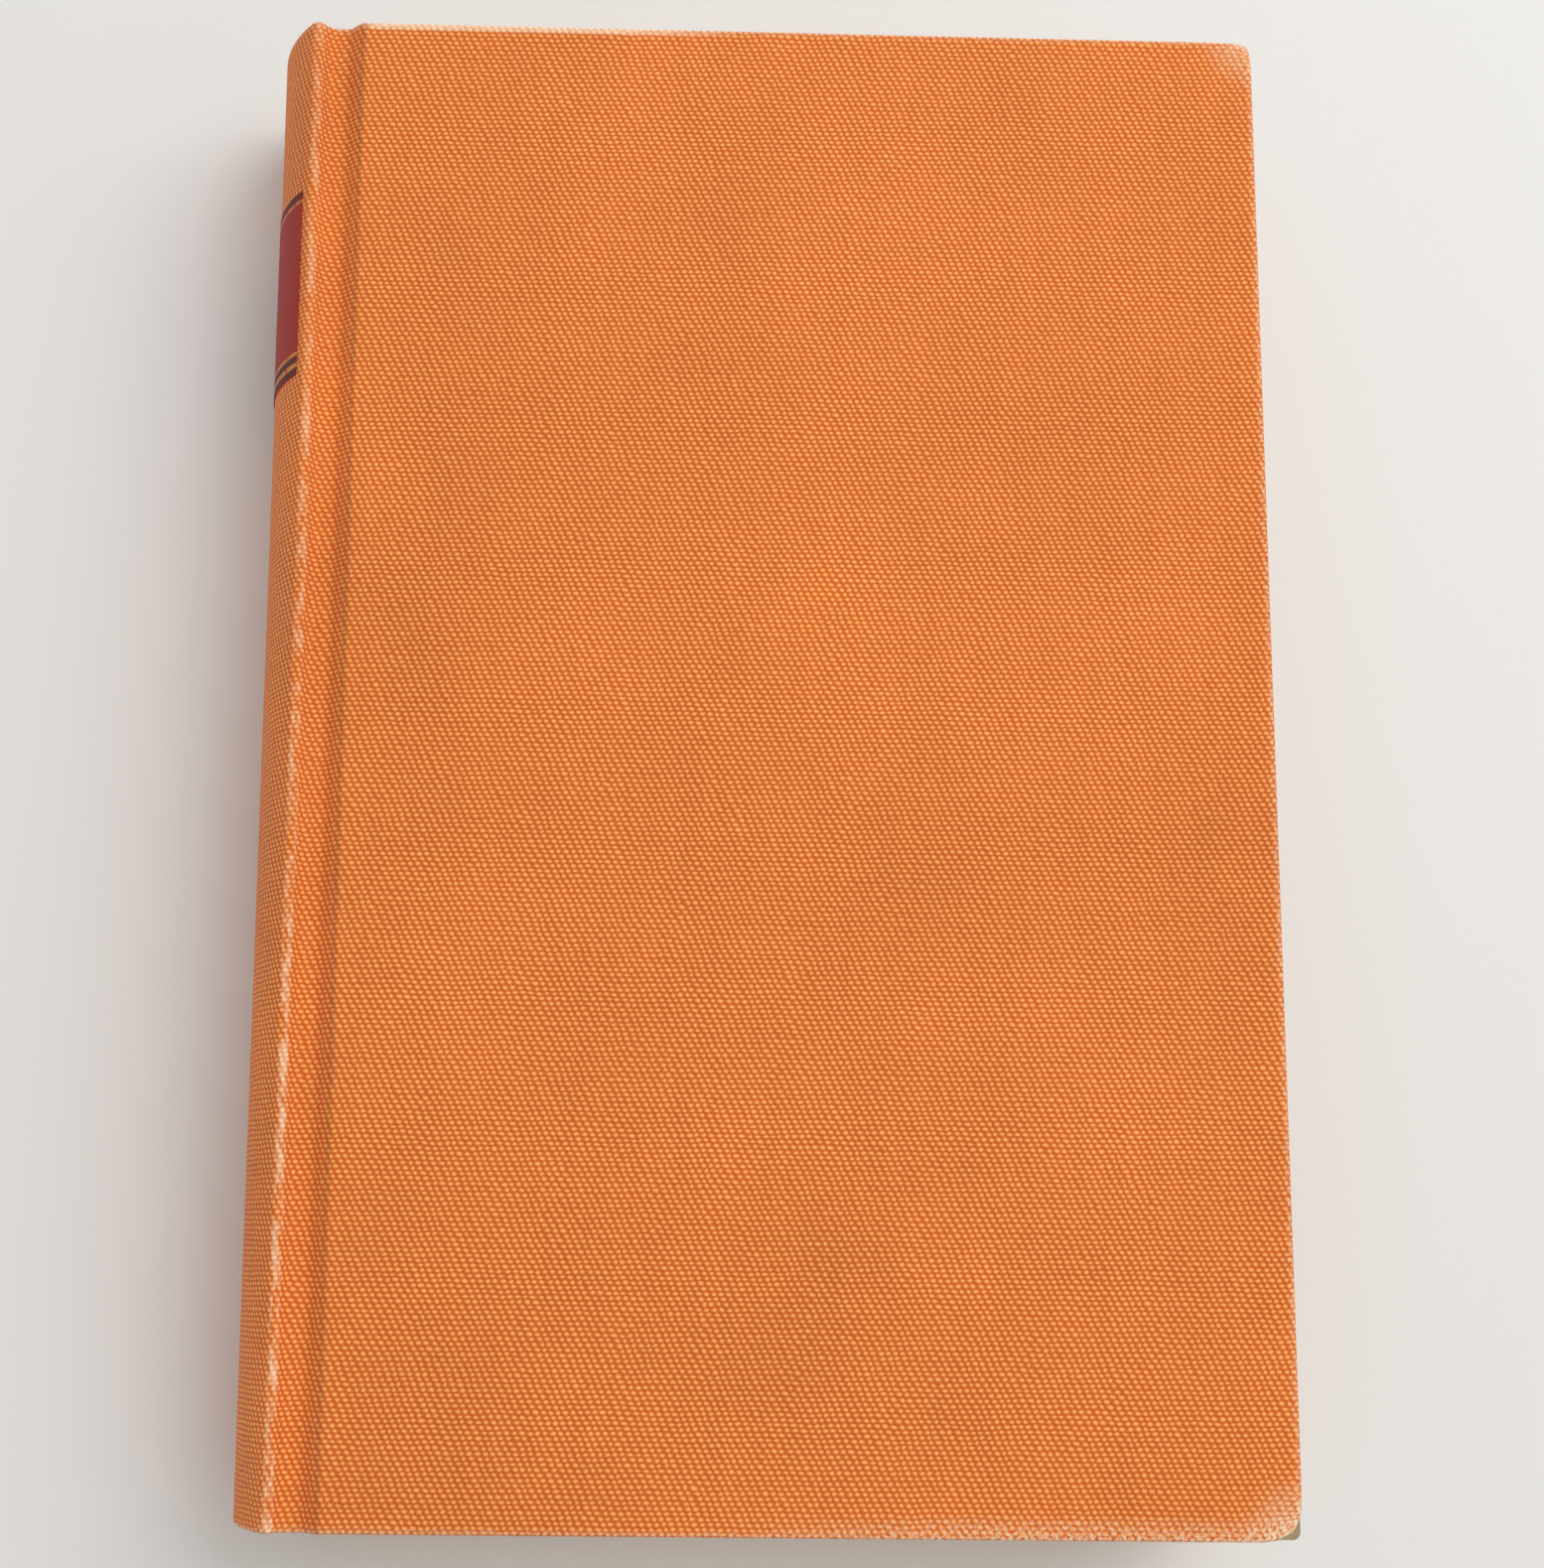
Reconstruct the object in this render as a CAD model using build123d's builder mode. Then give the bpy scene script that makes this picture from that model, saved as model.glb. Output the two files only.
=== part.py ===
# Cloth-cased hardback book with a rounded spine, lying on its rear cover.
# Millimetres. X runs from the spine to the fore edge, Y from tail to head, Z from rear to front.
# The origin is at the centre of the outline, on the surface that the book lies on.
from build123d import *
from math import asin, cos, degrees, radians, sin, sqrt
import os

# Case
cover_height = 222.0       # covered board, tail to head
cover_width = 135.0        # covered board, joint crease to fore edge
joint_width = 7.0          # joint crease to the crest of the spine's ridge
spine_round = 6.5          # how far the spine stands out past the ridge
ridge_radius = 1.2         # outer radius of the cloth over the ridge
flank_angle = 30.0         # where the cloth leaves the ridge towards the groove, above level
flank_length = 0.45        # straight cloth below the ridge, on its groove side
groove_depth = 2.0         # depth of the joint groove below the covers' outer face
groove_run = 3.0           # joint crease to the deepest line of the groove
board_thickness = 2.5
cloth_thickness = 0.4
turn_in_width = 15.0       # cloth folded in over the edges of the boards and the spine
arris_radius = 0.6         # rounding of the covered edges
corner_radius = 1.5        # rounding of the covers' corners, seen from the front

# Book block
pages_thickness = 24.5
square = 3.0               # how far the covers stand out past the pages
paper_thickness = 0.2      # each endpaper leaf
shoulder_drop = 2.4        # tip of the shoulder below the covers' outer face
shoulder_slope = 1.8       # tip of the shoulder to where the pages' face begins, along X
headband_width = 1.8
headband_height = 1.6
headband_rounding = 0.7

# Layers of the spine, from the cloth inwards
inlay_thickness = 0.6
hollow_gap = 0.6
lining_thickness = 0.3
mull_thickness = 0.3
mull_flange_width = 25.0   # how far the mull reaches over each board
mull_flange_thickness = 0.2
mull_end_gap = 2.0         # mull to the turned-in cloth at head and tail

# Label
label_thickness = 0.15
label_bottom = 55.0        # above the middle of the spine
label_height = 29.0
label_side_margin = 2.5    # degrees of the spine's arc left bare beside each ridge

# Clearances
leaf_gap = 0.05            # between a cover's pastedown and the leaf that faces it
knuckle_gap = 0.45         # between the cloth of the spine and the cloth of a cover
sheet_end_margin = 1.0     # degrees that the inner sheets of the spine stop short of their seats

# Levels of the front half; the rear half is its mirror image
cover_stack = 2 * cloth_thickness + board_thickness + paper_thickness
thickness = pages_thickness + 2 * (cover_stack + leaf_gap + paper_thickness)
middle = thickness / 2
board_top = thickness - cloth_thickness
board_face = board_top - board_thickness
turn_in_face = board_face - cloth_thickness
cover_face = turn_in_face - paper_thickness
leaf_face = cover_face - leaf_gap
pages_face = leaf_face - paper_thickness
groove_level = thickness - groove_depth

# Stations along X
outline_width = label_thickness + spine_round + joint_width + cover_width
spine_x = label_thickness - outline_width / 2
ridge_x = spine_x + spine_round
crease_x = ridge_x + joint_width
fore_x = crease_x + cover_width
board_x = crease_x + cloth_thickness
window_x = fore_x - turn_in_width
flange_x = board_x + mull_flange_width
page_fore_x = fore_x - square
groove_x = crease_x - groove_run

# Lengths along Y
page_height = cover_height - 2 * square
inner_height = cover_height - 2 * cloth_thickness
window_height = cover_height - 2 * turn_in_width
mull_height = window_height - 2 * mull_end_gap

# The spine's outer arc passes through its outermost line and is tangent to both ridges
ridge_rise = middle - ridge_radius
spine_radius = (spine_round**2 + ridge_rise**2 - ridge_radius**2) / (2 * (spine_round - ridge_radius))
spine_centre_x = spine_x + spine_radius
ridge_angle = degrees(asin(ridge_rise / (spine_radius - ridge_radius)))

# The spine's inner layers and the back of the pages share the outer arc's centre
inlay_radius = spine_radius - cloth_thickness
turn_in_radius = inlay_radius - inlay_thickness
lining_radius = turn_in_radius - cloth_thickness - hollow_gap
mull_radius = lining_radius - lining_thickness
back_radius = mull_radius - mull_thickness
back_x = spine_centre_x - back_radius
shoulder_rise = middle - shoulder_drop
shoulder_angle = degrees(asin(shoulder_rise / back_radius))
shoulder_x = spine_centre_x - sqrt(back_radius**2 - shoulder_rise**2)
slope_x = shoulder_x + shoulder_slope

# The cloth of a cover begins just past the end of the ridge's flank
flank_cos = cos(radians(flank_angle))
flank_sin = sin(radians(flank_angle))
strip_x = ridge_x + ridge_radius * flank_cos + flank_length * flank_sin + knuckle_gap
flank_z = thickness - ridge_radius + ridge_radius * flank_sin - flank_length * flank_cos
strip_z = flank_z - knuckle_gap * flank_cos


def case_line(depth):
    """Outline of the spine at this depth below its outer face, from flank to flank; returns its ends."""
    round_radius = ridge_radius - depth
    ends = []
    for side in (1, -1):
        centre_z = middle + side * ridge_rise
        start = (ridge_x + round_radius * flank_cos, centre_z + side * round_radius * flank_sin)
        end = (start[0] + flank_length * flank_sin, start[1] - side * flank_length * flank_cos)
        turn = 180 - ridge_angle - flank_angle
        CenterArc((ridge_x, centre_z), round_radius, side * flank_angle, side * turn)
        Line(start, end)
        ends.append(end)
    CenterArc((spine_centre_x, middle), spine_radius - depth, 180 - ridge_angle, 2 * ridge_angle)
    return ends


def arc_sheet(inner_radius, outer_radius, half_angle):
    """Face of a sheet that follows the round of the spine."""
    with BuildLine() as outline:
        outer = CenterArc((spine_centre_x, middle), outer_radius, 180 - half_angle, 2 * half_angle)
        inner = CenterArc((spine_centre_x, middle), inner_radius, 180 - half_angle, 2 * half_angle)
        Line(outer @ 0, inner @ 0)
        Line(outer @ 1, inner @ 1)
    make_face(outline.edges())


def groove_side(drop):
    """The ridge's side of the groove at this drop below the cloth's outer face; returns its ends."""
    start = (strip_x, strip_z - drop)
    end = (groove_x, groove_level - drop)
    Spline(start, end, tangents=((flank_sin, -flank_cos), (1, 0)))
    return start, end


def crease_side(drop):
    """The board's side of the groove at this drop below the cloth's outer face; returns its ends."""
    start = (groove_x, groove_level - drop)
    end = (crease_x, thickness - drop)
    Spline(start, end, tangents=((1, 0), (1, 0.4)))
    return start, end


def across(start=0.0):
    """Plane across the spine at this distance from its middle, towards the head."""
    return Plane.XZ.offset(-start)


def box_between(low, high, mode=Mode.ADD):
    """Box given by two opposite corners."""
    with Locations(tuple((a + b) / 2 for a, b in zip(low, high))):
        Box(*[b - a for a, b in zip(low, high)], mode=mode)


def save(part, name):
    part.label = name
    export_step(part, f"parts/{name}.step")


def save_pair(part, name):
    """Write a piece of the front half and its mirror image in the rear half."""
    save(part, f"front_{name}")
    save(mirror(part, about=Plane.XY.offset(middle)), f"rear_{name}")


os.makedirs("parts", exist_ok=True)

# Pages: rounded back with a shoulder at each side, and a fore edge as hollow as the back is round
with BuildPart() as text_block:
    with BuildSketch(across()):
        with BuildLine():
            front_side = Polyline(
                (shoulder_x, middle + shoulder_rise), (slope_x, pages_face), (page_fore_x, pages_face)
            )
            rear_side = Polyline(
                (shoulder_x, middle - shoulder_rise),
                (slope_x, thickness - pages_face),
                (page_fore_x, thickness - pages_face),
            )
            ThreePointArc(front_side @ 0, (back_x, middle), rear_side @ 0)
            ThreePointArc(front_side @ 1, (page_fore_x - (shoulder_x - back_x), middle), rear_side @ 1)
        make_face()
    extrude(amount=page_height / 2, both=True)
save(text_block.part, "text_block")

# Flyleaf: the free leaf of the endpaper
with BuildPart() as flyleaf:
    box_between(
        (slope_x, -page_height / 2, pages_face),
        (page_fore_x, page_height / 2, leaf_face),
    )
save_pair(flyleaf.part, "flyleaf")

# Mull: gauze glued over the back of the pages
with BuildPart() as mull:
    with BuildSketch(across()):
        arc_sheet(back_radius, mull_radius, shoulder_angle - sheet_end_margin)
    extrude(amount=mull_height / 2, both=True)
save(mull.part, "mull")

# Lining: kraft paper over the mull
with BuildPart() as spine_lining:
    with BuildSketch(across()):
        arc_sheet(mull_radius, lining_radius, shoulder_angle - sheet_end_margin)
    extrude(amount=page_height / 2, both=True)
save(spine_lining.part, "spine_lining")

# Headbands: beads that sit on the ends of the pages, along the back
for name, side in (("headband", 1), ("tailband", -1)):
    with BuildPart() as band:
        with BuildSketch(across(side * page_height / 2)):
            arc_sheet(back_radius - headband_width, back_radius, shoulder_angle - sheet_end_margin)
        extrude(amount=-side * headband_height)
        far_end = faces().sort_by(Axis.Y)[-1 if side > 0 else 0]
        long_edges = far_end.edges().sort_by(SortBy.LENGTH)[-2:]
        fillet(long_edges, headband_rounding)
    save(band.part, name)

# Inlay: card that stiffens the spine of the case
with BuildPart() as spine_inlay:
    with BuildSketch(across()):
        arc_sheet(turn_in_radius, inlay_radius, ridge_angle)
    extrude(amount=inner_height / 2, both=True)
save(spine_inlay.part, "spine_inlay")

# Cloth of the spine: over the inlay and both ridges, and folded in at head and tail
with BuildPart() as spine_cloth:
    with BuildSketch(across()):
        with BuildLine():
            outer_ends = case_line(0)
            inner_ends = case_line(cloth_thickness)
            for outer_end, inner_end in zip(outer_ends, inner_ends):
                Line(outer_end, inner_end)
        make_face()
    extrude(amount=cover_height / 2, both=True)
    fold_angle = ridge_angle - sheet_end_margin
    for side in (1, -1):
        with BuildSketch(across(side * inner_height / 2)):
            arc_sheet(turn_in_radius - cloth_thickness, inlay_radius, fold_angle)
        extrude(amount=-side * cloth_thickness)
        with BuildSketch(across(side * inner_height / 2)):
            arc_sheet(turn_in_radius - cloth_thickness, turn_in_radius, fold_angle)
        extrude(amount=side * (turn_in_width - cloth_thickness))
save(spine_cloth.part, "spine_cloth")

# Label: thin piece on the spine, near the head
with BuildPart() as spine_label:
    with BuildSketch(across(label_bottom)):
        arc_sheet(spine_radius, spine_radius + label_thickness, ridge_angle - label_side_margin)
    extrude(amount=-label_height)
save(spine_label.part, "spine_label")

# Board of a cover
with BuildPart() as board:
    box_between(
        (board_x, -inner_height / 2, board_face),
        (fore_x - cloth_thickness, inner_height / 2, board_top),
    )
    fore_corners = edges().filter_by(Axis.Z).group_by(Axis.X)[-1]
    fillet(fore_corners, corner_radius - cloth_thickness)
save_pair(board.part, "board")

# Cloth of a cover: over the board, folded in on three sides, and down into the joint groove
with BuildPart() as cover_cloth:
    box_between((crease_x, -cover_height / 2, turn_in_face), (fore_x, cover_height / 2, thickness))
    fillet(edges().filter_by(Axis.Z).group_by(Axis.X)[-1], corner_radius)
    rim = edges().filter_by(Plane.XY) - edges().filter_by(Axis.Y).group_by(Axis.X)[0]
    fillet(rim, arris_radius)
    add(board.part, mode=Mode.SUBTRACT)
    box_between(
        (crease_x, -window_height / 2, turn_in_face),
        (window_x, window_height / 2, board_face),
        mode=Mode.SUBTRACT,
    )
    box_between(
        (crease_x, -cover_height / 2, turn_in_face),
        (board_x, cover_height / 2, board_top),
        mode=Mode.SUBTRACT,
    )
    with BuildSketch(across()):
        with BuildLine():
            top_start, _ = groove_side(0)
            _, top_end = crease_side(0)
            under_start, _ = groove_side(cloth_thickness)
            _, under_end = crease_side(cloth_thickness)
            Line(top_start, under_start)
            Line(top_end, under_end)
        make_face()
    extrude(amount=cover_height / 2, both=True)
save_pair(cover_cloth.part, "cover_cloth")

# Flange of the mull: the gauze that runs from the joint on to the board
flange_under = board_face - mull_flange_thickness
with BuildPart() as mull_flange:
    with BuildSketch(across()):
        with BuildLine():
            upper_start, upper_end = groove_side(cloth_thickness)
            Polyline(upper_end, (board_x, board_face), (flange_x, board_face), (flange_x, flange_under))
            lower_start, lower_end = groove_side(cloth_thickness + mull_flange_thickness)
            Polyline(lower_end, (board_x, flange_under), (flange_x, flange_under))
            Line(upper_start, lower_start)
        make_face()
    extrude(amount=mull_height / 2, both=True)
save_pair(mull_flange.part, "mull_flange")

# Pastedown: the endpaper leaf glued inside a cover, which shows the step of the turned-in cloth
step_under = flange_under - paper_thickness
sheet_under = board_face - paper_thickness
with BuildPart() as pastedown:
    box_between(
        (board_x - paper_thickness, -page_height / 2, cover_face),
        (page_fore_x, page_height / 2, turn_in_face),
    )
    box_between(
        (board_x - paper_thickness, -window_height / 2, cover_face),
        (window_x, window_height / 2, board_face),
    )
    box_between(
        (board_x - paper_thickness, paper_thickness - window_height / 2, cover_face),
        (window_x - paper_thickness, window_height / 2 - paper_thickness, board_face),
        mode=Mode.SUBTRACT,
    )
    with BuildSketch(across()):
        with BuildLine():
            upper_start, upper_end = groove_side(cloth_thickness + mull_flange_thickness)
            Polyline(
                upper_end,
                (board_x, flange_under),
                (flange_x, flange_under),
                (flange_x, board_face),
                (window_x, board_face),
                (window_x, sheet_under),
                (flange_x + paper_thickness, sheet_under),
                (flange_x + paper_thickness, step_under),
                (board_x, step_under),
                (groove_x, upper_end[1] - paper_thickness),
            )
            lower_start, _ = groove_side(cloth_thickness + mull_flange_thickness + paper_thickness)
            Line(upper_start, lower_start)
        make_face()
    extrude(amount=window_height / 2, both=True)
    with BuildSketch(across()):
        with BuildLine():
            upper_start, upper_end = groove_side(cloth_thickness + mull_flange_thickness)
            Polyline(
                upper_end,
                (board_x, flange_under),
                (board_x, cover_face),
                (board_x - paper_thickness, cover_face),
                (board_x - paper_thickness, step_under),
                (groove_x, upper_end[1] - paper_thickness),
            )
            lower_start, _ = groove_side(cloth_thickness + mull_flange_thickness + paper_thickness)
            Line(upper_start, lower_start)
        make_face()
    extrude(amount=page_height / 2, both=True)
save_pair(pastedown.part, "pastedown")

print(f"thickness {thickness:.2f}, spine radius {spine_radius:.2f}, pages {page_height:.1f} high")
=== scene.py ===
import math

import bpy
import bmesh
import numpy as np
from mathutils import Matrix, Vector, noise


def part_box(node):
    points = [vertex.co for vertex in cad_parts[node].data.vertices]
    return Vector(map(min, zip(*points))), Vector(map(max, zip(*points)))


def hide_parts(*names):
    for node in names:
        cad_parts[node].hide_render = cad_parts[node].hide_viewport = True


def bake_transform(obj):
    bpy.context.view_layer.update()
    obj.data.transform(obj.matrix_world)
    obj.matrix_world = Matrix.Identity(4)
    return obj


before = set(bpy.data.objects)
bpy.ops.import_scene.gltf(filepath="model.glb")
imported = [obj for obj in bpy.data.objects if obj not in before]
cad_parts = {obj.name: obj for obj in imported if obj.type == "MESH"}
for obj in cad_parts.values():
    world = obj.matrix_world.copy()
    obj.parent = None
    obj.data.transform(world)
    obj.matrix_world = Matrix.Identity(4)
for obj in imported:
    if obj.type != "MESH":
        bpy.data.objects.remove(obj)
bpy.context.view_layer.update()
mm = 0.001
print("frame loaded")


# Shader expressions: a Signal is one output socket, and arithmetic on it adds nodes
class Signal:
    def __init__(self, paint, socket):
        self.paint = paint
        self.socket = socket

    def run(self, operation, *others):
        return self.paint.node("ShaderNodeMath", {"operation": operation}, [self, *others])

    def __add__(self, other):
        return self.run("ADD", other)

    __radd__ = __add__

    def __mul__(self, other):
        return self.run("MULTIPLY", other)

    __rmul__ = __mul__

    def __sub__(self, other):
        return self.run("SUBTRACT", other)

    def __rsub__(self, other):
        return self * -1.0 + other

    def wave(self):
        return (self * (2 * math.pi)).run("COSINE")

    def away(self, place):
        return (self - place).run("ABSOLUTE")

    def ramp(self, low, high):
        settings = {"interpolation_type": "SMOOTHSTEP"}
        return self.paint.node("ShaderNodeMapRange", settings, {0: self, 1: low, 2: high})

    def line(self, place, width, softness=0.5):
        return 1 - self.away(place).ramp(width * softness, width)


class Paint:
    def __init__(self, name):
        self.material = bpy.data.materials.new(name)
        self.material.use_nodes = True
        self.tree = self.material.node_tree
        self.tree.nodes.clear()

    def node(self, kind, settings=None, inputs=(), output=0):
        made = self.tree.nodes.new(kind)
        for key, value in (settings or {}).items():
            setattr(made, key, value)
        pairs = inputs.items() if isinstance(inputs, dict) else enumerate(inputs)
        for key, value in pairs:
            if isinstance(value, Signal):
                self.tree.links.new(value.socket, made.inputs[key])
            else:
                made.inputs[key].default_value = value
        return Signal(self, made.outputs[output])

    def millimetres(self, uvName=None):
        if uvName:
            place = self.node("ShaderNodeUVMap", {"uv_map": uvName})
        else:
            place = self.node("ShaderNodeTexCoord", output="Object")
        split = self.node("ShaderNodeSeparateXYZ", inputs=[place]).socket.node
        return [Signal(self, split.outputs[i]) * 1000.0 for i in range(3)]

    def noise(self, x, y, z=0.0, detail=3.0, rough=0.55):
        place = self.node("ShaderNodeCombineXYZ", inputs=[x, y, z])
        inputs = {"Vector": place, "Scale": 1.0, "Detail": detail, "Roughness": rough}
        return self.node("ShaderNodeTexNoise", inputs=inputs)

    def mix(self, factor, first, second, blend="MIX"):
        settings = {"data_type": "RGBA", "blend_type": blend}
        inputs = {0: factor, 6: first, 7: second}
        return self.node("ShaderNodeMix", settings, inputs, output=2)

    def grey(self, level):
        return self.node("ShaderNodeCombineColor", inputs=[level, level, level])

    def bump(self, height, strength, distance):
        inputs = {"Height": height, "Strength": strength, "Distance": distance}
        return self.node("ShaderNodeBump", inputs=inputs, output="Normal")

    def finish(self, colour, rough, normal=None, **others):
        inputs = {"Base Color": colour, "Roughness": rough}
        if normal:
            inputs["Normal"] = normal
        sockets = {"specular": "Specular IOR Level", "sheen": "Sheen Weight", "metallic": "Metallic"}
        inputs.update({sockets[key]: value for key, value in others.items()})
        shader = self.node("ShaderNodeBsdfPrincipled", inputs=inputs)
        end = self.tree.nodes.new("ShaderNodeOutputMaterial")
        self.tree.links.new(shader.socket, end.inputs["Surface"])
        return self.material


def tint(red, green, blue):
    levels = [c / 255 for c in (red, green, blue)]
    return [c / 12.92 if c <= 0.04045 else ((c + 0.055) / 1.055) ** 2.4 for c in levels] + [1.0]


# Case cloth: one sheet over boards and spine, as two halves that meet along the middle of the spine
cloth = {
    "thickness": 0.35 * mm,
    "wrap": 0.4 * mm,
    "edgeHeight": 3.3 * mm,
    "spineRound": 6.5 * mm,
    "jointWidth": 7.0 * mm,
    "ridgeRadius": 1.2 * mm,
    "ridgeFlank": math.radians(30),
    "flankLength": 0.45 * mm,
    "grooveDepth": 2.0 * mm,
    "grooveRun": 3.0 * mm,
    "turnIn": 15.0 * mm,
    "turnInRings": (1.0, 4.0, 8.0, 11.5, 14.4),
    "arris": 0.6 * mm,
    "innerArris": 0.35 * mm,
    "cornerRadius": 1.5 * mm,
    "spineLip": 1.4 * mm,
    "grooveLip": 0.8 * mm,
    "waviness": 0.12 * mm,
    "cornerBump": 1.1 * mm,
    "bumpReach": 7.0 * mm,
    "headBump": 0.6 * mm,
    "headBumpReach": 5.0 * mm,
}
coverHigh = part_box("front_cover_cloth")[1]
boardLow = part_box("front_board")[0]
top = coverHigh.z
middle = top / 2
headY = coverHigh.y
foreX = coverHigh.x
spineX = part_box("spine_cloth")[0].x
ridgeX = spineX + cloth["spineRound"]
creaseX = ridgeX + cloth["jointWidth"]
grooveX = creaseX - cloth["grooveRun"]
grooveZ = top - cloth["grooveDepth"]
turnInZ = boardLow.z - cloth["wrap"]


def hermite(start, end, leave, arrive, count):
    start, end = np.array(start), np.array(end)
    leave, arrive = (np.array(d) / np.linalg.norm(d) for d in (leave, arrive))
    chord = np.linalg.norm(end - start)
    t = np.linspace(0, 1, count + 1)[1:, None]
    blendStart, blendEnd = 2 * t**3 - 3 * t**2 + 1, 3 * t**2 - 2 * t**3
    pull = (t**3 - 2 * t**2 + t) * leave + (t**3 - t**2) * arrive
    return blendStart * start + blendEnd * end + chord * pull


def sectionPoints():
    radius = cloth["ridgeRadius"]
    rise = middle - radius
    bow = cloth["spineRound"]
    spineRadius = (bow**2 + rise**2 - radius**2) / (2 * (bow - radius))
    centreX = spineX + spineRadius
    ridgeAngle = math.asin(rise / (spineRadius - radius))
    turn = np.linspace(math.pi, math.pi - ridgeAngle, 27)
    back = np.stack([centreX + spineRadius * np.cos(turn), middle + spineRadius * np.sin(turn)], 1)
    turn = np.linspace(math.pi - ridgeAngle, cloth["ridgeFlank"], 15)[1:]
    crest = np.stack([ridgeX + radius * np.cos(turn), middle + rise + radius * np.sin(turn)], 1)
    down = np.array([math.sin(cloth["ridgeFlank"]), -math.cos(cloth["ridgeFlank"])])
    flank = crest[-1] + cloth["flankLength"] * down
    slope = hermite(flank, (grooveX, grooveZ), down, (1, 0), 12)
    climb = hermite((grooveX, grooveZ), (creaseX, top), (1, 0), (1, 0.25), 12)
    edge = foreX - cloth["arris"]
    # Columns stand closer together beside the crease and the fore edge
    near = creaseX + np.array([0.4, 0.9, 1.6, 2.6]) * mm
    far = edge - np.array([3.0, 2.3, 1.7, 1.2, 0.8, 0.4, 0.0]) * mm
    flatX = np.concatenate([near, np.linspace(near[-1], far[0], 72)[1:-1], far])
    flat = np.stack([flatX, np.full(len(flatX), top)], 1)
    return np.concatenate([back, crest, [flank], slope, climb, flat])


section = sectionPoints()
arcLength = np.concatenate([[0], np.cumsum(np.linalg.norm(np.diff(section, axis=0), axis=1))])
tangent = np.gradient(section, axis=0)
tangent[0] = (0, 1)
tangent /= np.linalg.norm(tangent, axis=1)[:, None]
outward = np.stack([-tangent[:, 1], tangent[:, 0]], 1)


def arcAt(x):
    # Distance along the cloth from the middle of the spine, on the ridge or past it
    upper = section[:, 1] > middle + 0.7 * middle
    return float(np.interp(x, section[upper, 0], arcLength[upper]))


def smooth(low, high, value):
    t = np.clip((value - low) / (high - low), 0, 1)
    return t * t * (3 - 2 * t)


def lipDepth(x, z):
    slim = cloth["spineLip"] + (cloth["grooveLip"] - cloth["spineLip"]) * smooth(ridgeX, grooveX, x)
    if x < grooveX:
        return slim
    underZ = np.interp(x, [grooveX, boardLow.x], [grooveZ - cloth["grooveLip"], turnInZ])
    return z - underZ


def rowPlaces():
    reach = headY - cloth["arris"]
    ends = reach - np.array([0.0, 0.4, 0.8, 1.2, 1.7, 2.3, 3.0, 4.0]) * mm
    inner = np.linspace(-ends[-1], ends[-1], 112)[1:-1]
    return np.concatenate([-ends, inner, ends[::-1]])


def roundedPlan(x, y):
    # Turns the square corner of the grid into a round one, without losing a row
    radius = cloth["cornerRadius"] - cloth["arris"]
    reachX, reachY = foreX - cloth["arris"] - radius, headY - cloth["arris"] - radius
    a, b = (x - reachX) / radius, (abs(y) - reachY) / radius
    if a <= 0 or b <= 0:
        return x, y
    shrink = max(a, b) / math.hypot(a, b)
    return reachX + a * shrink * radius, math.copysign(reachY + b * shrink * radius, y)


def borderProfile():
    # Rings round the cover's edge: (reach outwards, share or depth, stage), from the face to the turn-in
    arris, under = cloth["arris"], cloth["innerArris"]
    quarter = math.pi / 2
    rings = []
    for t in np.linspace(0, quarter, 6)[1:]:
        rings.append((arris * math.sin(t), arris * (1 - math.cos(t)), "arris"))
    rings += [(arris, share, "wall") for share in (0.3, 0.65, 1.0)]
    for t in np.linspace(0, quarter, 5)[1:]:
        rings.append((arris - under + under * math.cos(t), under * math.sin(t), "inner"))
    return rings + [(-step * mm, 0, "turnIn") for step in cloth["turnInRings"]]


def borderFall(drop, stage, depth):
    # How far below the outer face a ring lies, where the covered edge is this deep
    arris, under = cloth["arris"], cloth["innerArris"]
    curl = min(arris, depth * 0.45)
    floor = depth - min(under, depth * 0.3)
    if stage == "arris":
        return drop / arris * curl
    if stage == "wall":
        return curl + (floor - curl) * drop
    if stage == "inner":
        return floor + drop / under * (depth - floor)
    return depth


def borderPush(x, y, atEnd):
    # Outward direction in plan, which turns round the corner with the edge
    corner = np.array([x, abs(y)]) - (np.array([foreX, headY]) - cloth["cornerRadius"])
    if corner.min() > 0:
        direction = corner / np.linalg.norm(corner)
    else:
        direction = np.array([0.0, 1.0] if atEnd else [1.0, 0.0])
    return Vector((direction[0], math.copysign(direction[1], y) if direction[1] else 0.0, 0.0))


def borderSpot(start, j, push, ring):
    # Where a ring passes column j: out past the face, then round and in over the board's inner side
    out, drop, stage = ring
    x, y, z = start
    sink = Vector((-outward[j, 0], 0.0, -outward[j, 1])) if x < grooveX else Vector((0, 0, -1))
    fall = borderFall(drop, stage, lipDepth(section[j, 0], section[j, 1]))
    spot = Vector((x, y, z)) + push * max(out, 0.0) + sink * fall
    if stage == "turnIn":
        if spot.x > creaseX:
            spot.x = min(spot.x, foreX - cloth["arris"] + out)
        limit = headY - cloth["arris"] + out
        spot.y = max(-limit, min(limit, spot.y))
    return spot


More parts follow.
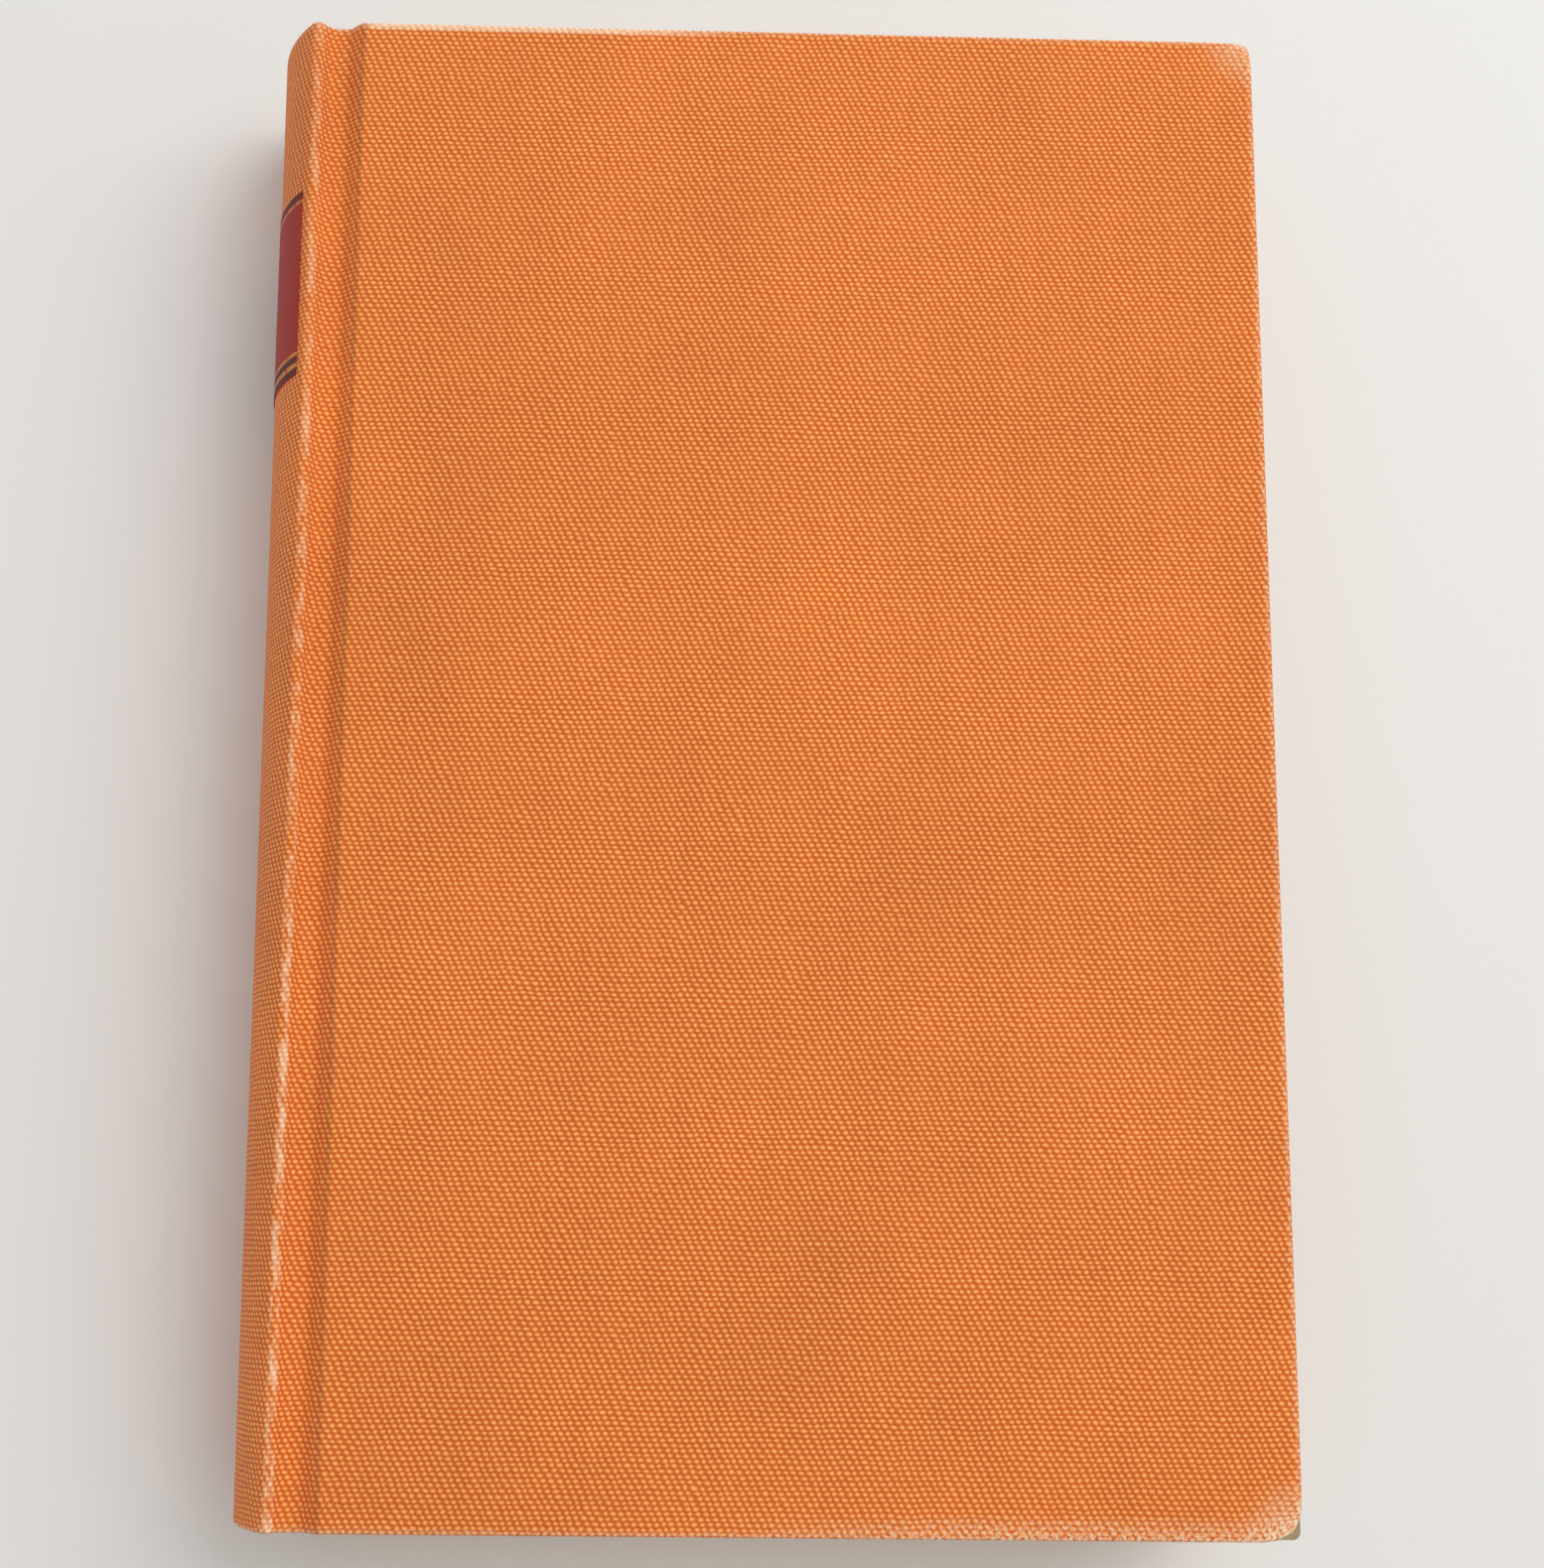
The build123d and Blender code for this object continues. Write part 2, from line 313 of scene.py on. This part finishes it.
def caseHalf(name):
    rows = rowPlaces()
    columns, last = len(section), len(rows) - 1
    places, uvs, faces = [], [], []
    for y in rows:
        for j in range(columns):
            x, rounded = roundedPlan(section[j, 0], y)
            places.append((x, rounded, section[j, 1]))
            uvs.append((arcLength[j], y))
    for i in range(last):
        for j in range(columns - 1):
            a = i * columns + j
            faces.append((a, a + 1, a + columns + 1, a + columns))
    loop = [(last, j) for j in range(columns)]
    loop += [(i, columns - 1) for i in range(last - 1, -1, -1)]
    loop += [(0, j) for j in range(columns - 2, -1, -1)]
    edge = [i * columns + j for i, j in loop]
    travelled = np.zeros(len(loop))
    for profileRing in borderProfile():
        ring = []
        for k, (i, j) in enumerate(loop):
            start = places[i * columns + j]
            push = borderPush(start[0], start[1], i in (0, last) and j < columns - 1)
            places.append(tuple(borderSpot(start, j, push, profileRing)))
            travelled[k] += (Vector(places[-1]) - Vector(places[edge[k]])).length
            uvs.append((arcLength[j] + push.x * travelled[k], rows[i] + push.y * travelled[k]))
            ring.append(len(places) - 1)
        for k in range(len(loop) - 1):
            faces.append((edge[k + 1], ring[k + 1], ring[k], edge[k]))
        edge = ring
    mesh = bpy.data.meshes.new(name)
    mesh.from_pydata([Vector(p) for p in places], [], faces)
    layer = mesh.uv_layers.new(name="weave")
    corners = np.zeros(len(mesh.loops), np.int32)
    mesh.loops.foreach_get("vertex_index", corners)
    layer.data.foreach_set("uv", np.array(uvs, np.float32)[corners].ravel())
    return mesh


def unevenness(x, y, side):
    spot = Vector((x * 28, y * 22, 3.7 * side))
    return noise.noise(spot) + 0.45 * noise.noise(spot * 3.1)


def shapeCase(mesh, side):
    for vertex in mesh.vertices:
        x, y, z = vertex.co
        inside = smooth(creaseX, creaseX + 8 * mm, x) * smooth(0, 6 * mm, foreX - x)
        inside *= smooth(0, 6 * mm, headY - abs(y))
        if z > top - 1.0 * mm:
            vertex.co.z -= cloth["waviness"] * inside * (0.5 + 0.5 * unevenness(x, y, side))
        if side > 0:
            hit = 1 - smooth(0, cloth["bumpReach"], math.hypot(foreX - x, headY + y))
            vertex.co += Vector((-0.7, 0.9, 0.0)) * cloth["cornerBump"] * hit * hit
            vertex.co.z -= 0.35 * cloth["cornerBump"] * hit * (z > middle)
            hit = 1 - smooth(0, cloth["headBumpReach"], math.hypot(foreX - x, headY - y))
            vertex.co += Vector((-0.5, -0.5, -0.2)) * cloth["headBump"] * hit * hit


def mirrorCase(mesh):
    for vertex in mesh.vertices:
        vertex.co.z = top - vertex.co.z
    mesh.flip_normals()
    for corner in mesh.uv_layers["weave"].data:
        corner.uv.x = -corner.uv.x


def cleanCase(mesh):
    form = bmesh.new()
    form.from_mesh(mesh)
    bmesh.ops.remove_doubles(form, verts=form.verts, dist=0.002 * mm)
    bmesh.ops.dissolve_degenerate(form, edges=form.edges, dist=0.001 * mm)
    form.to_mesh(mesh)
    form.free()


def plainMesh(piece):
    evaluated = piece.evaluated_get(bpy.context.evaluated_depsgraph_get())
    result = bpy.data.meshes.new_from_object(evaluated)
    piece.modifiers.clear()
    piece.data = result
    for polygon in result.polygons:
        polygon.use_smooth = True


def caseCloth(name, side, material, nodes):
    mesh = caseHalf(name)
    shapeCase(mesh, side)
    if side < 0:
        mirrorCase(mesh)
    cleanCase(mesh)
    mesh.materials.append(material)
    piece = bpy.data.objects.new(name, mesh)
    bpy.context.scene.collection.objects.link(piece)
    shell = piece.modifiers.new("shell", "SOLIDIFY")
    shell.thickness = cloth["thickness"]
    shell.offset = -1
    plainMesh(piece)
    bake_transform(piece)
    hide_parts(*nodes)


# Weave of the case cloth, in millimetres: dots every pitch across, in rows that each shift a third of it
weave = {
    "pitch": 1.055,
    "row": 0.705,
    "light": tint(255, 172, 94),
    "dark": tint(200, 90, 24),
    "wearAndHighlight": tint(255, 226, 188),
    "paintedShade": tint(120, 66, 36),
}


def clothMaterial():
    paint = Paint("caseCloth")
    u, v = paint.millimetres("weave")[:2]
    drift = (paint.noise(u * 0.11, v * 0.11) - 0.5) * 1.6
    jitter = (paint.noise(u * 0.9, v * 0.35, 4.0, 2.0) - 0.5) * 0.5
    across = u + drift + jitter
    along = (paint.noise(u * 0.35, v * 0.9, 9.0, 2.0) - 0.5) * 0.4 + drift * 0.4 - v
    pitch, row = weave["pitch"], weave["row"]
    third = along * (1 / (3 * row))
    twill = (third - across * (1 / pitch)).wave()
    steps = (along * (1 / row)).wave() * 0.88
    counter = (across * (1 / pitch) + third * 2.0).wave() * 0.56
    pattern = twill + steps + counter
    grain = paint.noise(u * 2.2, v * 2.2, 2.0, 4.0, 0.7)
    lattice = (pattern + (grain - 0.5) * 2.2).ramp(-1.4, 2.3)
    streak = paint.noise(u * 1.1, v * 0.045, 6.0, 3.0, 0.6)
    weft = paint.noise(u * 0.04, v * 1.3, 7.0, 2.0)
    mottle = paint.noise(u * 0.035, v * 0.03, 1.0, 4.0)
    level = 0.93 + streak * 0.22 + (weft - 0.5) * 0.10 + (mottle - 0.5) * 0.34
    base = paint.mix(lattice, weave["dark"], weave["light"])
    base = paint.mix(1.0, base, paint.grey(level), "MULTIPLY")

    ridge, fore = arcAt(ridgeX) / mm, arcAt(foreX) / mm + 0.3
    crease = arcAt(creaseX) / mm
    head = headY / mm
    front = u.ramp(0.0, 4.0)
    broken = paint.noise(u * 0.8, v * 0.16, 3.0, 4.0, 0.65)
    specks = paint.noise(u * 1.7, v * 1.7, 5.0, 4.0, 0.7)
    towardsTail = (v * -1.0).ramp(-105.0, 90.0) * 0.5 + 0.35
    # Pale line along the ridge's crest, stronger towards the tail: partly worn cloth, partly a painted
    # highlight where light catches the ridge
    crest = u.line(ridge + 0.2, 1.1, 0.2) * broken.ramp(0.40, 0.62) * towardsTail
    # Pale line along the head edge from the crease, fading before the middle: partly worn cloth, partly
    # a painted highlight on the board's edge
    headWearAndHighlight = v.line(head - 0.4, 1.1, 0.3) * (u - crease).ramp(-1.0, 2.0)
    headWearAndHighlight = headWearAndHighlight * (1 - (u - crease).ramp(38.0, 60.0)) * (0.55 + broken * 0.6)
    edges = v.run("ABSOLUTE").line(head - 0.2, 0.9, 0.3) + u.line(fore, 0.9, 0.3)
    edges = edges * specks.ramp(0.42, 0.62)
    cornerX, cornerHead, cornerTail = (u - fore) * (u - fore), v - head, v + head
    headCorner = (cornerX + cornerHead * cornerHead).run("SQRT")
    tailCorner = (cornerX + cornerTail * cornerTail).run("SQRT")
    corners = (1 - headCorner.ramp(1.0, 9.0)) * 0.8 + (1 - tailCorner.ramp(2.0, 10.0))
    corners = corners * specks.ramp(0.34, 0.58)
    tailEdge = (v + head).line(0.6, 3.2, 0.2) * (u - crease).ramp(50.0, 95.0) * specks.ramp(0.45, 0.6)
    # worn adds real wear at the edges, corners and tail to the painted highlights on the ridge and head
    worn = (crest + headWearAndHighlight * 0.95 + edges * 0.55 + corners * 0.75 + tailEdge * 0.7) * front
    worn = (worn + edges * (1 - front) * 0.5) * (0.55 + lattice * 0.45)
    # Painted shade along the tail edge of the front board, towards the fore edge, broken into specks
    tailShade = (v + head).line(1.2, 4.0, 0.2) * specks.ramp(0.60, 0.70)
    tailShade = tailShade * (u - crease).ramp(40.0, 90.0) * front
    # Painted shade: a thin dark line in the crease where the joint meets the board
    creaseShade = u.line(crease - 0.2, 0.7, 0.2) * 0.30
    # One pale colour for the wear and the painted highlights
    colour = paint.mix(worn.run("MINIMUM", 0.92), base, weave["wearAndHighlight"])
    # Painted shade colour over the tail edge and the crease
    colour = paint.mix((tailShade * 0.7 + creaseShade).run("MINIMUM", 0.8), colour, weave["paintedShade"])
    height = lattice * (1 - worn.run("MINIMUM", 1.0) * 0.7) + streak * 0.3 + grain * 0.3
    rough = 0.86 - lattice * 0.10 - worn.run("MINIMUM", 1.0) * 0.08
    normal = paint.bump(height, 0.55, 0.16 * mm)
    return paint.finish(colour, rough, normal, specular=0.25, sheen=0.08)


def paperMaterial(name, colour, lines=0.0):
    paint = Paint(name)
    x, y, z = paint.millimetres()
    fibre = paint.noise(x * 0.9, y * 0.9, z * 0.9, 5.0, 0.7)
    cloud = paint.noise(x * 0.03, y * 0.03, z * 0.03, 3.0)
    leaves = paint.noise(x * 0.012, y * 0.012, z * 9.0, 2.0, 0.8)
    level = 0.86 + fibre * 0.08 + cloud * 0.16 + (leaves - 0.5) * lines
    edge = paint.mix(1.0, colour, paint.grey(level), "MULTIPLY")
    normal = paint.bump(leaves * (1.0 if lines else 0.0) + fibre * 0.3, 0.4, 0.08 * mm)
    return paint.finish(edge, 0.82 + fibre * 0.1, normal, specular=0.2)


def boardMaterial():
    paint = Paint("millboard")
    x, y, z = paint.millimetres()
    fibre = paint.noise(x * 1.3, y * 1.3, z * 2.6, 6.0, 0.75)
    fleck = paint.noise(x * 3.0, y * 3.0, z * 3.0, 3.0).ramp(0.62, 0.70)
    colour = paint.mix(fibre, tint(136, 118, 92), tint(182, 164, 132))
    colour = paint.mix(fleck * 0.5, colour, tint(92, 78, 60))
    normal = paint.bump(fibre, 0.5, 0.12 * mm)
    return paint.finish(colour, 0.88 + fibre * 0.08, normal, specular=0.2)


def gauzeMaterial():
    paint = Paint("mullGauze")
    x, y, z = paint.millimetres()
    threads = ((x + z) * 0.9).wave() * 0.5 + (y * 0.9).wave() * 0.5
    mesh = (threads + (paint.noise(x, y, z) - 0.5) * 0.6).ramp(-0.4, 0.7)
    colour = paint.mix(mesh, tint(176, 160, 128), tint(228, 218, 194))
    normal = paint.bump(mesh, 0.6, 0.1 * mm)
    return paint.finish(colour, 0.9 - mesh * 0.05, normal, specular=0.2)


label = {
    "ground": tint(150, 22, 18),
    "dark": tint(66, 22, 16),
    "gold": tint(206, 142, 62),
    "rule": 0.35,
}


def labelMaterial():
    paint = Paint("labelLeather")
    low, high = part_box("spine_label")
    x, y, z = paint.millimetres()
    tail, head = low.y / mm, high.y / mm
    grain = paint.noise(x * 2.4, y * 2.4, z * 2.4, 5.0, 0.7)
    rubbed = paint.noise(x * 0.5, y * 0.5, z * 0.5, 4.0, 0.7)
    colour = paint.mix(grain, label["ground"], tint(172, 40, 28))
    colour = paint.mix(rubbed.ramp(0.58, 0.74) * 0.45, colour, tint(190, 92, 58))
    rule = label["rule"]
    bands = y.line(tail + 0.6, 0.6) + y.line(tail + 2.5, 0.6) + y.line(head - 0.5, 0.6)
    gold = y.line(tail + 3.4, rule) + y.line(tail + 1.6, rule + 0.1) + y.line(head - 1.5, rule * 0.8)
    kept = paint.noise(x * 1.1, y * 1.1, z * 1.1, 4.0, 0.7).ramp(0.36, 0.50)
    colour = paint.mix(bands.run("MINIMUM", 1.0) * 0.9, colour, label["dark"])
    leaf = gold.run("MINIMUM", 1.0) * kept
    colour = paint.mix(leaf, colour, label["gold"])
    normal = paint.bump(grain + rubbed * 0.5, 0.5, 0.08 * mm)
    rough = 0.55 + grain * 0.15 - leaf * 0.15
    return paint.finish(colour, rough, normal, metallic=leaf * 0.7, specular=0.35)


def headbandMaterial():
    paint = Paint("headbandSilk")
    x, y, z = paint.millimetres()
    stripe = (z * (1 / 1.6)).wave().ramp(-0.15, 0.15)
    thread = (z * (1 / 0.4)).wave()
    worn = paint.noise(x * 1.5, y * 1.5, z * 1.5, 4.0)
    colour = paint.mix(stripe, tint(150, 34, 28), tint(222, 206, 170))
    colour = paint.mix(worn * 0.3, colour, tint(110, 84, 60))
    normal = paint.bump(thread * 0.5 + worn * 0.3, 0.8, 0.15 * mm)
    return paint.finish(colour, 0.5 + worn * 0.2, normal, sheen=0.2)


print("case cloth")
clothPaint = clothMaterial()
caseCloth("frontCaseCloth", 1, clothPaint, ["spine_cloth", "front_cover_cloth"])
caseCloth("rearCaseCloth", -1, clothPaint, ["rear_cover_cloth"])

print("inner materials")
finishes = {
    "text_block": paperMaterial("pageEdges", tint(226, 208, 172), 0.55),
    "flyleaf": paperMaterial("flyleafPaper", tint(232, 217, 186)),
    "pastedown": paperMaterial("pastedownPaper", tint(228, 212, 180)),
    "spine_lining": paperMaterial("kraftLining", tint(170, 130, 88)),
    "spine_inlay": boardMaterial(),
    "board": boardMaterial(),
    "mull": gauzeMaterial(),
    "label": labelMaterial(),
    "band": headbandMaterial(),
}
for name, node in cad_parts.items():
    wanted = [key for key in finishes if key in name]
    for index in range(len(node.data.materials) if wanted else 0):
        node.data.materials[index] = finishes[max(wanted, key=len)]

print("floor, light and camera")
# A weak world and one large lamp from the right of the head
studio = {
    "floorReach": 6.0,
    "floorDrop": 0.2 * mm,
    "floor": tint(231, 230, 228),
    "world": 0.60,
    "lampPower": 8.0,
    "lampSize": 0.9,
    "lampPlace": (0.55, 0.45, 0.95),
}


def makeFloor():
    paint = Paint("floorPaper")
    x, y, z = paint.millimetres()
    cloud = paint.noise(x * 0.004, y * 0.004, 0.0, 2.0)
    colour = paint.mix(cloud * 0.15, studio["floor"], tint(232, 230, 226))
    mesh = bpy.data.meshes.new("floor")
    reach = studio["floorReach"]
    corners = [(-reach, -reach, 0), (reach, -reach, 0), (reach, reach, 0), (-reach, reach, 0)]
    mesh.from_pydata(corners, [], [(0, 1, 2, 3)])
    mesh.materials.append(paint.finish(colour, 0.9, None, specular=0.1))
    floor = bpy.data.objects.new("floor", mesh)
    bpy.context.scene.collection.objects.link(floor)
    floor.location.z = -studio["floorDrop"]


def makeLight():
    scene = bpy.context.scene
    world = bpy.data.worlds.new("studio")
    scene.world = world
    world.use_nodes = True
    background = world.node_tree.nodes["Background"]
    background.inputs["Color"].default_value = (1.0, 0.99, 0.975, 1.0)
    background.inputs["Strength"].default_value = studio["world"]
    lamp = bpy.data.lights.new("window", "AREA")
    lamp.energy = studio["lampPower"]
    lamp.size = studio["lampSize"]
    holder = bpy.data.objects.new("window", lamp)
    scene.collection.objects.link(holder)
    holder.location = studio["lampPlace"]
    aim = Vector((0, 0, 0)) - holder.location
    holder.rotation_euler = aim.to_track_quat("-Z", "Y").to_euler()
    scene.view_settings.view_transform = "Standard"


lens = {
    "place": Vector((-27.3, -73.0, 338.7)) * mm,
    "turn": Vector((8.86, -1.27, 0.76)),
    "focal": 50.93,
    "sensor": 36.0,
    "shift": (0.0997, 0.0842),
}


def makeCamera():
    data = bpy.data.cameras.new("camera")
    data.sensor_fit = "HORIZONTAL"
    data.sensor_width = lens["sensor"]
    data.lens = lens["focal"]
    data.shift_x, data.shift_y = lens["shift"]
    data.clip_start = 0.01
    data.clip_end = 20
    camera = bpy.data.objects.new("camera", data)
    bpy.context.scene.collection.objects.link(camera)
    turn = Matrix.Rotation(math.radians(lens["turn"].length), 4, lens["turn"].normalized())
    camera.matrix_world = Matrix.Translation(lens["place"]) @ turn
    bpy.context.scene.camera = camera


makeFloor()
makeLight()
makeCamera()

print("finish")
